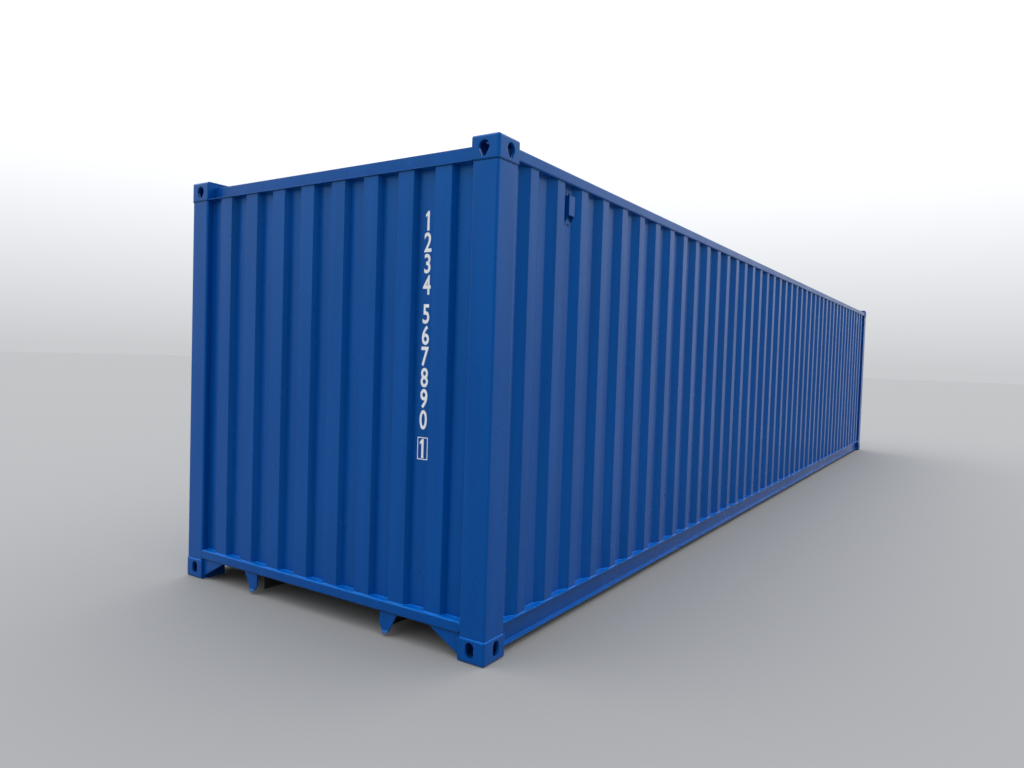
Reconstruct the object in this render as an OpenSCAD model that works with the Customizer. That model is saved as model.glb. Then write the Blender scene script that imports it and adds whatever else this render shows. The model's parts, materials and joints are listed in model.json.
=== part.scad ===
// Forty-foot dry freight container: a welded steel box standing on eight cast corner fittings.
// +X runs towards the doors, +Z up. The origin is the middle of the base, at the fittings' underside.
// Side +1 is +Y, the right when facing the doors. Side -1 is -Y, the left.

/* [Overall] */
// Length over the corner fittings
length = 12192; // [9000:1:14000]
// Width over the corner fittings
width = 2438; // [2300:1:2600]
// Height over the corner fittings
height = 2591; // [2200:1:3000]
// How far posts, rails and the sill stand behind the faces of the fittings
face_setback = 4; // [1:0.5:6]

/* [Corner fittings] */
// Length of a fitting, along the container
fitting_l = 178; // [170:1:190]
// Width of a fitting, across the container
fitting_w = 162; // [150:1:175]
// Height of a fitting
fitting_h = 118; // [110:1:130]
// Thickness of the plate with the twistlock slot
fitting_plate_t = 28; // [20:0.5:32]
// Thickness of the two outer walls
fitting_wall_t = 16; // [10:0.5:20]
// Thickness of the walls that face the container
fitting_back_t = 10; // [6:0.5:14]
// Radius of the fitting's outer edges
fitting_edge_r = 15; // [8:0.5:20]
// Length of the twistlock slot
slot_l = 124; // [110:0.5:130]
// Width of the twistlock slot
slot_w = 63.5; // [55:0.5:70]
// End face to the middle of the slot
slot_from_end = 103.5; // [95:0.5:108]
// Side face to the middle of the slot
slot_from_side = 89.5; // [82:0.5:96]
// Height of the holes in the end and side walls
hole_h = 79; // [70:0.5:82]
// Width of the bottom fittings' holes
hole_w = 51; // [40:0.5:60]
// Outer plate's face to the middle of those holes
hole_rise = 68; // [64:0.5:70]
// Radius of the wide end of the top fittings' shield-shaped holes
shield_r = 31.75; // [28:0.25:34]
// Radius of the narrow end of the shield holes
shield_tip_r = 18; // [12:0.5:26]

/* [Front end] */
// Thickness of the pressed corner posts
post_t = 6; // [4:0.5:8]
// Width of a front post, seen from the front
post_face_w = 156; // [130:1:157]
// Bend radius of the posts' outer corner
post_bend_r = 14; // [8:1:20]
// Lap where a wall sheet is welded to a post
weld_lap = 5; // [3:0.5:10]
// Front sheet's thickness
front_sheet_t = 2; // [1.2:0.1:3]
// Fitting's face to the ribs' outer faces at the front
front_inset = 14; // [8:0.5:20]
// Depth of the front ribs
front_depth = 36; // [25:0.5:45]
// Spacing of the front ribs
front_pitch = 250; // [200:1:280]
// Width of a front rib's outer face
front_outer = 106; // [90:1:125]
// Width of a front rib's slope
front_slope = 18; // [10:1:30]
// Height of the front sill's face
sill_h = 60; // [50:1:70]
// Underside of the front sill above the ground
sill_z = 134; // [125:1:140]
// Depth of the front sill's top flange
sill_top_w = 72; // [66:1:90]
// Depth of the front sill's bottom flange
sill_bottom_w = 36; // [36:1:60]
// Thickness of the front sill and its plates
sill_t = 4; // [3:0.5:6]
// Fitting's face to the front header's tube
header_inset = 57; // [52:1:65]
// Width of the front header's tube
header_w = 60; // [45:1:70]
// Thickness of the front header
header_t = 4; // [3:0.5:6]
// Reach of a gusset along the sill from the fitting
gusset_reach = 208; // [160:1:230]
// Lowest point of a gusset
gusset_z = 20; // [10:1:45]
// Thickness of gussets and tunnel lead plates
lead_t = 10; // [6:0.5:12]
// Sill's face to the front of gussets and lead plates
lead_inset = 14; // [8:1:24]
// Width of a lead plate at the sill
lead_w = 122; // [105:1:140]
// Height where a lead plate's inner edge turns to its tip
lead_shoulder_z = 61; // [50:1:90]
// Radius of a lead plate's rounded tip
lead_tip_r = 27; // [20:1:34]
// Tunnel's side to the middle of the rounded tip
lead_tip_y = 41; // [35:1:60]
// Height of the middle of the rounded tip
lead_tip_z = 44; // [34:1:52]
// Height of the bend under which the tip leans forward
lead_lip_z = 33; // [24:1:42]
// How far the tip leans forward
lead_lip = 14; // [8:1:18]

/* [Side walls] */
// Side sheet's thickness
side_sheet_t = 1.6; // [1.2:0.1:3]
// Fitting's face to the ribs' outer faces at the side
side_inset = 14; // [8:0.5:18]
// Depth of the side ribs
side_depth = 36; // [25:0.5:40]
// Spacing of the side ribs
side_pitch = 278; // [240:1:320]
// Width of a side rib's outer face
side_outer = 78; // [50:1:90]
// Width of a side rib's slope
side_slope = 61; // [50:1:80]
// Front post's edge to the middle of the first side rib
first_rib = 174; // [150:1:230]

/* [Rails and roof] */
// Height of the bottom side rail's top above the ground
rail_top_z = 175; // [165:1:182]
// Height of the bottom side rail
rail_h = 135; // [120:1:150]
// Width of the bottom side rail's top flange
rail_top_w = 52; // [50:1:60]
// Width of the bottom side rail's bottom flange
rail_bottom_w = 32; // [20:1:45]
// Thickness of the bottom side rail
rail_t = 4.5; // [3:0.5:6]
// Bend radius of cold-formed rails and sills
rail_bend_r = 8; // [6:0.5:12]
// Width and height of the square top side rail
top_rail = 60; // [50:1:80]
// Wall of the top side rail
top_rail_t = 3; // [2:0.5:4]
// How far the roof's seat lies below the fittings' tops
roof_drop = 38; // [28:1:44]
// Roof sheet's thickness
roof_sheet_t = 2; // [1.2:0.1:3]
// Height of the roof's pressed ribs
roof_rise = 20; // [10:1:22]
// Spacing of the roof's ribs
roof_pitch = 209; // [180:1:260]
// Width of a roof rib's crown
roof_crown = 91; // [70:1:110]
// Width of a roof rib's slope
roof_slope = 13.5; // [8:0.5:25]
// Length of the slope that closes a roof rib at each end
roof_end_slope = 27; // [15:1:40]
// Flat margin from a roof rib's end to the sheet's side edge
roof_margin = 85; // [60:1:140]
// Lap of the roof sheet on the side rails
roof_lap = 40; // [20:1:50]
// Thickness of the roof's end plates
end_plate_t = 3; // [2:0.5:5]
// Width of the roof's end plates behind the fittings
end_plate_w = 240; // [200:1:300]

/* [Base] */
// Thickness of the plywood floor
floor_t = 28; // [24:1:32]
// Length of a plywood board
board_l = 2400; // [1800:1:2600]
// Gap between plywood boards
board_gap = 3; // [1:0.5:6]
// Height of the cross members
cross_h = 122; // [100:1:128]
// Width of a cross member's top flange
cross_top_w = 45; // [35:1:60]
// Width of a cross member's bottom flange
cross_bottom_w = 40; // [30:1:60]
// Thickness of the cross members
cross_t = 4; // [3:0.5:6]
// Spacing of the cross members
cross_pitch = 305; // [250:1:400]
// Width of the gooseneck tunnel
tunnel_w = 1029; // [1000:1:1070]
// Length of the gooseneck tunnel from the front
tunnel_l = 3315; // [3000:1:3500]
// Clear height under the tunnel's roof
tunnel_h = 120; // [115:1:124]
// Thickness of the tunnel's plates
tunnel_t = 4; // [3:0.5:6]

/* [Doors] */
// Width of a door post, seen from the doors
door_post_w = 66; // [55:1:80]
// Width of the seal face beside the leaf
seal_w = 48; // [40:1:60]
// Door leaf's thickness
leaf_t = 50; // [40:1:60]
// Fitting's face to the leaf's outer face
leaf_inset = 51; // [48:1:56]
// Gap between leaf and post, header and sill
leaf_gap = 6; // [4:0.5:10]
// Gap between the two leaves
leaf_meet = 8; // [6:0.5:14]
// Width of a leaf frame's uprights
stile_w = 100; // [80:1:120]
// Height of a leaf frame's cross bars
cross_bar_h = 140; // [100:1:170]
// Wall of the leaf frame's tubes
leaf_tube_t = 3.2; // [2:0.1:5]
// Door sheet's thickness
door_sheet_t = 2; // [1.2:0.1:3]
// Depth of the channels pressed into the door sheet
door_depth = 34; // [24:1:40]
// Width of those channels at the bottom
door_channel_w = 130; // [100:1:170]
// Width of the slopes beside those channels
door_slope = 20; // [10:1:40]
// Gasket between the leaf's back and the frame
gasket_t = 6; // [4:0.5:10]
// Width of the gasket behind the leaf's edge
gasket_w = 30; // [15:1:40]
// Reach of the gasket's lip beside the leaf's edge
gasket_lip = 25; // [15:1:35]
// Height of the door header's face
door_header_h = 85; // [80:1:90]
// Underside of the door sill above the ground
door_sill_z = 40; // [30:1:60]
// Height of the threshold over the door sill's shelf
threshold_h = 24; // [16:1:30]
// Depth of the door sill and header behind the leaf's back
door_frame_d = 30; // [20:1:45]
// Thickness of the door sill and header
door_frame_t = 5; // [4:0.5:6]

/* [Locking gear] */
// Diameter of a locking rod
rod_d = 34; // [25:1:36]
// Wall of a locking rod
rod_t = 3; // [2:0.5:5]
// Middle of the container to the inner rods
rod_inner_y = 262; // [230:1:300]
// Middle of the container to the outer rods
rod_outer_y = 880; // [840:1:900]
// Gap between a rod and the leaf's outer face
rod_gap = 5; // [3:0.5:7]
// Reach of a rod past the leaf's ends
rod_reach = 46; // [40:1:52]
// Height of the lower handles
handle_z = 1010; // [900:1:1100]
// Step from the lower to the upper handles
handle_step = 150; // [120:1:250]
// Length of a handle
handle_l = 520; // [400:1:560]
// Height of a handle's bar
handle_h = 38; // [25:1:45]
// Thickness of a handle's bar
handle_t = 9; // [6:0.5:10]
// Rod's axis to the inner face of the handle's bar
handle_out = 4; // [2:0.5:5]
// Handle's free end to the middle of its catch
catch_in = 57; // [40:1:80]
// Width of a handle's catch
catch_w = 50; // [36:1:60]
// Height of the catch's plate over and under the bar
catch_reach = 46; // [36:1:60]
// Height of the catch's lips before the bar
catch_lip = 14; // [8:1:16]
// Thickness of the catch's sheet
catch_t = 4; // [3:0.5:5]
// Play between the bar and its catch
catch_play = 1.5; // [1:0.5:3]
// Hinges on each leaf
hinge_count = 4; // [3:1:5]
// Leaf's end to the middle of the nearest hinge
hinge_margin = 225; // [150:5:350]
// Height of a hinge's pin
hinge_h = 150; // [100:1:200]
// Diameter of a hinge's pin
hinge_pin_d = 16; // [10:1:20]
// Leaf's outer face to the pin's axis
hinge_out = 26; // [18:1:30]
// Leaf's edge to the pin's axis
hinge_in = 16; // [8:1:30]
// Radius of a hinge's eyes
hinge_eye_r = 14; // [10:1:20]
// Height of each lug on the post
hinge_lug_h = 30; // [20:1:40]
// Length of the pin past a lug, and gap between lug and blade
hinge_play = 3; // [1:0.5:6]
// Reach of a hinge's blade over the leaf
hinge_blade_l = 70; // [40:1:95]
// Thickness of a hinge's blade
hinge_blade_t = 6; // [4:0.5:10]
// Thickness of a cam on a rod's end
cam_h = 16; // [10:1:24]
// Width of a cam
cam_w = 28; // [20:1:34]
// Reach of a cam from its rod's axis
cam_reach = 52; // [40:1:60]
// Leaf's end to the middle of a cam
cam_rise = 30; // [22:1:34]
// Height of a cam's keeper
keeper_h = 42; // [30:1:60]
// Width of a cam's keeper
keeper_w = 46; // [30:1:60]
// Play between a cam and its keeper
keeper_gap = 2; // [1:0.5:4]
// Play between a rod and a keeper
keeper_play = 5; // [2:0.5:8]
// Handle's hub to the brackets under and over it
bracket_from_hub = 170; // [120:5:220]
// Height of a rod bracket
bracket_h = 46; // [30:1:60]
// Lap of a rod bracket's plate beside its channel
bracket_lap = 12; // [6:1:18]
// Play between a rod and its brackets
bracket_play = 1; // [0.5:0.5:2]
// Wall of the hubs around a rod
hub_t = 5; // [3:0.5:8]

/* [Vents] */
// Ribs between each end of the side wall and a ventilator
vent_bay = 2; // [1:1:3]
// Middle of the flat between two ribs to the middle of its ventilator
vent_shift = 6; // [-8:1:8]
// Width of a ventilator's cover
vent_w = 64; // [50:1:90]
// Height of a ventilator's cover at the wall
vent_h = 148; // [120:1:180]
// Height of the cover's front face
vent_face_h = 110; // [80:1:115]
// Depth of a ventilator's cover
vent_d = 25; // [18:1:32]
// Thickness of the cover and its tabs
vent_t = 2; // [1:0.1:3]
// Height of the upper tab
vent_tab_high = 24; // [12:1:30]
// Height of the lower tab
vent_tab_low = 17; // [12:1:30]
// Lap of the lower tab between the cover's sides
vent_tab_lap = 6; // [3:1:12]
// Top side rail to the cover's top
vent_drop = 53; // [40:1:90]

/* [Hidden] */
$fn = 48;
// Overrun of a cut past a face
eps = 0.5;
// Flats in each bend of the rails and posts
bend_steps = 4;
// Share of a circle's radius where a straight side ends inside it
touch_share = 0.985;

blue = [0.03, 0.19, 0.52];
bitumen = [0.08, 0.09, 0.10];
zinc = [0.66, 0.68, 0.70];
rubber = [0.05, 0.05, 0.06];
plywood = [0.55, 0.33, 0.22];

ENDS = [["front", -1], ["door", 1]];
SIDES = [["left", -1], ["right", 1]];

// Planes that the pieces share
x_front = -length / 2 + face_setback;
x_door = length / 2 - face_setback;
y_face = width / 2 - face_setback;
x_inner = length / 2 - fitting_l;
y_inner = width / 2 - fitting_w;
z_top_fitting = height - fitting_h;
z_roof = height - roof_drop;
z_top_rail = z_roof - top_rail;
z_sill_top = sill_z + sill_h;
y_post = y_face - post_face_w;
x_lead = x_front + lead_inset;
z_floor = rail_top_z - floor_t;
z_cross = z_floor - cross_h;
y_web = y_face - rail_top_w;

// Front wall
x_rib_front = -length / 2 + front_inset;
x_back_front = x_rib_front + front_depth;
x_wall_inside = x_back_front + front_sheet_t;
front_ribs = floor((2 * y_post - front_outer - 2 * front_slope) / front_pitch) + 1;

// Side walls
y_rib_side = width / 2 - side_inset;
y_back_side = y_rib_side - side_depth;
side_start = -x_inner;
side_end = x_inner;
side_rib_half = side_outer / 2 + side_slope;
side_ribs = floor((side_end - side_start - first_rib - side_rib_half) / side_pitch) + 1;

// Roof
y_roof = y_face - top_rail + roof_lap;
x_end_plate = length / 2 - end_plate_w - header_inset;
roof_ribs = floor((2 * x_end_plate - roof_crown - 2 * roof_slope) / roof_pitch);

// Doors
x_leaf_out = length / 2 - leaf_inset;
x_leaf_in = x_leaf_out - leaf_t;
x_seal = x_leaf_in - gasket_t;
y_leaf_out = y_face - door_post_w - leaf_gap;
y_leaf_in = leaf_meet / 2;
y_seal = y_face - door_post_w - seal_w;
x_door_frame = x_seal - door_frame_d;
z_door_head = z_roof - door_header_h;
z_threshold = rail_top_z;
z_shelf = z_threshold - threshold_h;
z_leaf_low = z_shelf + leaf_gap;
z_leaf_high = z_door_head - leaf_gap;
x_rod = x_leaf_out + rod_gap + rod_d / 2;
rod_ys = [rod_inner_y, rod_outer_y];
cam_zs = [z_leaf_low - cam_rise, z_leaf_high + cam_rise];

// Base
x_tunnel_end = -length / 2 + tunnel_l;
x_base_front = x_front + sill_top_w;
x_base_door = x_door_frame;
cross_count = floor((x_base_door - x_tunnel_end - cross_top_w) / cross_pitch);
outrigger_count = floor((x_tunnel_end - x_base_front - cross_top_w) / cross_pitch);

// Bent sheet: an outline of even thickness on the right-hand side of a path
function unit(v) = v / norm(v);
function right_of(a, b) = let (d = unit(b - a)) [d[1], -d[0]];
function mitre(path, i) =
    let (before = right_of(path[max(i - 1, 0)], path[max(i, 1)]),
         after = right_of(path[min(i, len(path) - 2)], path[min(i + 1, len(path) - 1)]))
    (before + after) / (1 + before * after);
function bent_sheet(path, t) =
    concat(path, [for (i = [len(path) - 1 : -1 : 0]) path[i] + t * mitre(path, i)]);

// The same path with its corners bent to a radius
function bend_length(a, b, c, r) = let (turn = acos(unit(b - a) * unit(c - b))) r * tan(turn / 2);
function bend_points(a, b, c, r) =
    let (back = b - unit(b - a) * bend_length(a, b, c, r),
         on = b + unit(c - b) * bend_length(a, b, c, r))
    [for (k = [0 : bend_steps]) let (s = k / bend_steps)
        (1 - s) * (1 - s) * back + 2 * s * (1 - s) * b + s * s * on];
function rounded(path, r) = concat(
    [path[0]],
    [for (i = [1 : len(path) - 2]) each bend_points(path[i - 1], path[i], path[i + 1], r)],
    [path[len(path) - 1]]);

// Where a line from a point would touch a circle, taken just inside it so that the two cross
function touch(from, centre, r, side) =
    let (to = from - centre, turn = atan2(to[1], to[0]) + side * acos(r / norm(to)))
    centre + touch_share * r * [cos(turn), sin(turn)];

// Trapezoid ribs along a line, as [distance, depth] points: depth 0 at the outer faces
function ribs(centres, outer, slope, depth) = [for (c = centres) each [
    [c - outer / 2 - slope, depth], [c - outer / 2, 0],
    [c + outer / 2, 0], [c + outer / 2 + slope, depth]]];
function row(first, pitch, count) = [for (i = [0 : count - 1]) first + i * pitch];
function centred(pitch, count) = row(-(count - 1) / 2 * pitch, pitch, count);

// Extrusions of a plane profile along each axis. The profile's axes follow in X, Y, Z order.
module along_x(x0, x1) {
    translate([x0, 0, 0]) rotate([90, 0, 90]) linear_extrude(x1 - x0) children();
}
module along_y(y0, y1) {
    translate([0, y1, 0]) rotate([90, 0, 0]) linear_extrude(y1 - y0) children();
}
module along_z(z0, z1) {
    translate([0, 0, z0]) linear_extrude(z1 - z0) children();
}
module on_side(side) {
    mirror([0, side < 0 ? 1 : 0, 0]) children();
}
module block(low, high) {
    translate(low) cube(high - low);
}
module hollow_bar(low, high, t) {
    difference() {
        translate(low) square(high - low);
        translate(low + [t, t]) square(high - low - [2 * t, 2 * t]);
    }
}
// A square tube's section with round corners, its low corner at the origin
module round_square(side, r) {
    translate([r, 0]) square([side - 2 * r, side]);
    translate([0, r]) square([side, side - 2 * r]);
    for (x = [r, side - r]) for (y = [r, side - r]) translate([x, y]) circle(r);
}
module square_tube(side, r, t) {
    difference() {
        round_square(side, r);
        translate([t, t]) round_square(side - 2 * t, r - t);
    }
}

// Corner fitting, in a frame whose origin is its outer corner and whose axes run inwards
module edge_rounded(w, h, r) {
    translate([r, r]) circle(r);
    translate([r, 0]) square([w - r, h]);
    translate([0, r]) square([w, h - r]);
}
module stadium(l, w) {
    square([l - w, w], center = true);
    for (end = [-1, 1]) translate([end * (l - w) / 2, 0]) circle(w / 2);
}
// A shield: a wide and a narrow circle joined by straight sides, which cross both just inside
module shield(h, wide_r, tip_r) {
    span = h - wide_r - tip_r;
    lean = asin((wide_r - tip_r) / span);
    side = touch_share * [cos(lean), sin(lean)];
    translate([0, wide_r - h / 2]) {
        circle(wide_r);
        translate([0, span]) circle(tip_r);
        polygon([wide_r * side, [0, span] + tip_r * side,
                 [-tip_r * side[0], span + tip_r * side[1]],
                 [-wide_r * side[0], wide_r * side[1]]]);
    }
}
module wall_hole(top) {
    if (top) shield(hole_h, shield_r, shield_tip_r);
    else rotate(90) stadium(hole_h, hole_w);
}
module fitting_body() {
    intersection() {
        along_z(0, fitting_h) edge_rounded(fitting_l, fitting_w, fitting_edge_r);
        along_x(0, fitting_l) edge_rounded(fitting_w, fitting_h, fitting_edge_r);
        along_y(0, fitting_w) edge_rounded(fitting_l, fitting_h, fitting_edge_r);
    }
}
module fitting(top) {
    difference() {
        fitting_body();
        block([fitting_wall_t, fitting_wall_t, fitting_plate_t],
              [fitting_l - fitting_back_t, fitting_w - fitting_back_t, fitting_h - fitting_back_t]);
        translate([slot_from_end, slot_from_side, 0])
            along_z(-eps, fitting_plate_t + eps) stadium(slot_l, slot_w);
        translate([0, slot_from_side, hole_rise])
            along_x(-eps, fitting_wall_t + eps) wall_hole(top);
        translate([slot_from_end, 0, hole_rise])
            along_y(-eps, fitting_wall_t + eps) wall_hole(top);
    }
}
module corner_fitting(end, side, top) {
    color(blue)
        translate([end * length / 2, side * width / 2, top ? height : 0])
            mirror([end > 0 ? 1 : 0, 0, 0])
                mirror([0, side > 0 ? 1 : 0, 0])
                    mirror([0, 0, top ? 1 : 0])
                        fitting(top);
}

// Front end
module front_post(side) {
    front_return = x_wall_inside + weld_lap;
    side_return = y_back_side - side_sheet_t - weld_lap;
    path = [[front_return, y_post], [x_front, y_post], [x_front, y_face],
            [-x_inner, y_face], [-x_inner, side_return]];
    color(blue) on_side(side)
        along_z(fitting_h, z_top_fitting) polygon(bent_sheet(rounded(path, post_bend_r), post_t));
}
module front_header() {
    tube_x = -length / 2 + header_inset;
    plate_top = z_top_fitting + header_t;
    color(blue) along_y(-y_inner, y_inner) {
        translate([x_front, z_top_fitting]) square([tube_x + header_w - x_front, header_t]);
        hollow_bar([tube_x, plate_top], [tube_x + header_w, z_roof], header_t);
    }
}
module front_sill() {
    path = [[x_front + sill_bottom_w, sill_z], [x_front, sill_z],
            [x_front, z_sill_top], [x_front + sill_top_w, z_sill_top]];
    color(blue) along_y(-y_post, y_post) polygon(bent_sheet(rounded(path, rail_bend_r), sill_t));
}
module sill_gussets() {
    color(blue) for (side = SIDES) on_side(side[1])
        along_x(x_lead, x_lead + lead_t) polygon([
            [y_inner, sill_z], [y_inner - gusset_reach, sill_z], [y_inner, gusset_z]]);
}
// Lead plate: a tongue with a rounded tip, cut from a sheet whose foot leans forward
module lead_outline() {
    shoulder = [0, lead_shoulder_z];
    root = [lead_w, sill_z];
    tip = [lead_tip_y, lead_tip_z];
    polygon([[0, sill_z], shoulder, touch(shoulder, tip, lead_tip_r, 1),
             touch(root, tip, lead_tip_r, -1), root]);
    translate(tip) circle(lead_tip_r);
}
module tunnel_lead_plates() {
    foot = [x_lead - lead_lip, lead_tip_z - lead_tip_r];
    bend = [x_lead, lead_lip_z];
    path = [foot + (foot - bend), bend, [x_lead, sill_z + eps]];
    color(blue) for (side = SIDES) on_side(side[1]) translate([0, tunnel_w / 2, 0]) intersection() {
        along_y(-eps, lead_w + eps) polygon(bent_sheet(path, lead_t));
        along_x(x_front - eps, x_lead + lead_lip + lead_t) lead_outline();
    }
}
module front_wall() {
    wall = concat([[-y_post, front_depth]],
                  ribs(centred(front_pitch, front_ribs), front_outer, front_slope, front_depth),
                  [[y_post, front_depth]]);
    path = [for (p = wall) [x_rib_front + p[1], p[0]]];
    color(blue) along_z(z_sill_top, z_top_fitting) polygon(bent_sheet(path, front_sheet_t));
}

// Side walls and rails
module side_wall(side) {
    centres = row(side_start + first_rib, side_pitch, side_ribs);
    profile = concat([[side_start, side_depth]],
                     ribs(centres, side_outer, side_slope, side_depth),
                     [[side_end, side_depth]]);
    path = [for (p = profile) [p[0], y_rib_side - p[1]]];
    color(blue) on_side(side)
        along_z(rail_top_z, z_top_rail) polygon(bent_sheet(path, side_sheet_t));
}
module bottom_rail(side) {
    z0 = rail_top_z - rail_h;
    path = [[y_web + rail_bottom_w, z0], [y_web, z0], [y_web, rail_top_z], [y_face, rail_top_z]];
    color(blue) on_side(side)
        along_x(-x_inner, x_inner) polygon(bent_sheet(rounded(path, rail_bend_r), rail_t));
}
module top_rail_tube(side) {
    color(blue) on_side(side) along_x(-x_inner, x_inner)
        translate([y_face - top_rail, z_top_rail]) square_tube(top_rail, rail_bend_r, top_rail_t);
}

// Roof: a flat sheet with cross ribs pressed up, each closed by a slope at both ends
// The sheet is the space between two such solids, one lifted by the sheet's thickness
module roof_solid(lift) {
    crowns = centred(roof_pitch, roof_ribs);
    x_profile = concat([[-x_end_plate, 0]],
        [for (p = ribs(crowns, roof_crown, roof_slope, roof_rise)) [p[0], roof_rise - p[1]]],
        [[x_end_plate, 0]]);
    y_rib = y_roof - roof_margin;
    translate([0, 0, lift]) {
        block([-x_end_plate, -y_roof, -roof_rise], [x_end_plate, y_roof, 0]);
        intersection() {
            along_y(-y_roof, y_roof) polygon(concat(
                x_profile, [[x_end_plate, -roof_rise], [-x_end_plate, -roof_rise]]));
            along_x(-x_end_plate, x_end_plate) polygon([
                [-y_rib, -roof_rise], [-y_rib, 0], [-y_rib + roof_end_slope, roof_rise],
                [y_rib - roof_end_slope, roof_rise], [y_rib, 0], [y_rib, -roof_rise]]);
        }
    }
}
module roof() {
    color(blue) translate([0, 0, z_roof]) difference() {
        roof_solid(roof_sheet_t);
        roof_solid(0);
    }
}
module roof_end_plates() {
    x_head = length / 2 - header_inset;
    color(blue) for (end = ENDS) mirror([end[1] < 0 ? 1 : 0, 0, 0])
        along_z(z_roof, z_roof + end_plate_t) union() {
            translate([x_end_plate, -y_inner]) square([x_head - x_end_plate, 2 * y_inner]);
            translate([x_end_plate, -y_roof]) square([x_inner - x_end_plate, 2 * y_roof]);
        }
}

// Small covers with an open, slanted underside and two tabs, on the flats between two side ribs
module ventilator() {
    inside_w = vent_w - 2 * vent_t;
    inside_d = vent_d - vent_t;
    difference() {
        along_x(-vent_w / 2, vent_w / 2) polygon([
            [0, 0], [vent_d, 0], [vent_d, -vent_face_h], [0, -vent_h]]);
        along_x(-inside_w / 2, inside_w / 2) polygon([
            [-eps, -vent_t], [inside_d, -vent_t], [inside_d, -vent_h - eps], [-eps, -vent_h - eps]]);
    }
    for (tab = [[0, vent_tab_high], [-vent_h - vent_tab_low, -vent_h + vent_tab_lap]])
        block([-inside_w / 2, 0, tab[0]], [inside_w / 2, vent_t, tab[1]]);
}
module ventilators() {
    z0 = z_top_rail - vent_drop;
    color(blue) for (side = SIDES) for (bay = [vent_bay, side_ribs - vent_bay]) {
        x0 = side_start + first_rib + (bay - 0.5) * side_pitch + vent_shift;
        on_side(side[1]) translate([x0, y_back_side, z0]) ventilator();
    }
}

// Base: cross members, gooseneck tunnel and plywood floor
module channel_profile(top_w, bottom_w) {
    path = [[bottom_w, z_cross], [0, z_cross], [0, z_floor], [top_w, z_floor]];
    polygon(bent_sheet(rounded(path, rail_bend_r), cross_t));
}
module cross_members() {
    color(bitumen) for (i = [0 : cross_count])
        translate([x_tunnel_end + i * cross_pitch, 0, 0])
            along_y(-y_web, y_web) channel_profile(cross_top_w, cross_bottom_w);
}
module outriggers() {
    y0 = tunnel_w / 2 + tunnel_t;
    color(bitumen) for (side = SIDES) on_side(side[1]) for (i = [1 : outrigger_count])
        translate([x_tunnel_end - i * cross_pitch, 0, 0])
            along_y(y0, y_web) channel_profile(cross_top_w, cross_bottom_w);
}
module tunnel_roof() {
    y0 = tunnel_w / 2;
    color(bitumen) {
        block([x_base_front, -y0, tunnel_h], [x_tunnel_end, y0, tunnel_h + tunnel_t]);
        for (i = [1 : outrigger_count])
            translate([x_tunnel_end - i * cross_pitch, 0, 0])
                block([0, -y0, tunnel_h + tunnel_t], [cross_top_w, y0, z_floor]);
    }
}
module tunnel_side_beams() {
    y0 = tunnel_w / 2;
    color(bitumen) for (side = SIDES) on_side(side[1])
        block([x_base_front, y0, z_cross], [x_tunnel_end, y0 + tunnel_t, z_floor]);
}
module floor_boards() {
    x0 = x_wall_inside + board_gap;
    x1 = x_door_frame - board_gap;
    rows = ceil((x1 - x0) / board_l);
    y1 = y_web - board_gap;
    color(plywood) for (side = SIDES) on_side(side[1]) for (i = [0 : rows - 1])
        block([x0 + i * board_l, board_gap / 2, z_floor],
              [min(x0 + (i + 1) * board_l - board_gap, x1), y1, rail_top_z]);
}

// Door end
module door_post(side) {
    path = [[x_inner, y_back_side - side_sheet_t - weld_lap], [x_inner, y_face],
            [x_door, y_face], [x_door, y_face - door_post_w], [x_seal, y_face - door_post_w],
            [x_seal, y_seal], [x_inner, y_seal]];
    color(blue) on_side(side)
        along_z(fitting_h, z_top_fitting) polygon(bent_sheet(path, post_t));
}
// A cross piece of the door frame: wide beside the posts, narrower between the fittings
module between_corners(fitting_low, fitting_high) {
    along_y(-y_inner, y_inner) children();
    difference() {
        along_y(-y_seal, y_seal) children();
        block([0, -y_seal - eps, fitting_low], [length, y_seal + eps, fitting_high]);
    }
}
module door_header() {
    color(blue) between_corners(z_top_fitting, height) {
        hollow_bar([x_door_frame, z_door_head], [x_leaf_out, z_roof], door_frame_t);
        hollow_bar([x_door_frame, z_door_head - seal_w],
                   [x_seal, z_door_head + door_frame_t], door_frame_t);
    }
}
module door_sill() {
    color(blue) between_corners(0, fitting_h) {
        hollow_bar([x_door_frame, door_sill_z], [x_leaf_out, z_shelf], door_frame_t);
        hollow_bar([x_door_frame, z_shelf - door_frame_t], [x_seal, z_threshold], door_frame_t);
    }
}
module door_frame(side) {
    bar_y = [y_leaf_in + stile_w, y_leaf_out - stile_w];
    color(blue) on_side(side) {
        for (y = [y_leaf_in, bar_y[1]]) along_z(z_leaf_low, z_leaf_high)
            hollow_bar([x_leaf_in, y], [x_leaf_out, y + stile_w], leaf_tube_t);
        for (z = [z_leaf_low, z_leaf_high - cross_bar_h]) along_y(bar_y[0], bar_y[1])
            hollow_bar([x_leaf_in, z], [x_leaf_out, z + cross_bar_h], leaf_tube_t);
    }
}
module door_panel(side) {
    y0 = y_leaf_in + stile_w;
    y1 = y_leaf_out - stile_w;
    middle = (rod_inner_y + rod_outer_y) / 2;
    channels = ribs([rod_outer_y, middle, rod_inner_y], -door_channel_w, -door_slope, door_depth);
    profile = concat([[y1, 0]], [for (p = channels) [p[0], door_depth - p[1]]], [[y0, 0]]);
    path = [for (p = profile) [x_leaf_out - leaf_tube_t - p[1], p[0]]];
    color(blue) on_side(side)
        along_z(z_leaf_low + cross_bar_h, z_leaf_high - cross_bar_h)
            polygon(bent_sheet(path, door_sheet_t));
}
module leaf_outline(grow) {
    translate([-y_leaf_out - grow, z_leaf_low - grow])
        square([2 * (y_leaf_out + grow), z_leaf_high - z_leaf_low + 2 * grow]);
}
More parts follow.
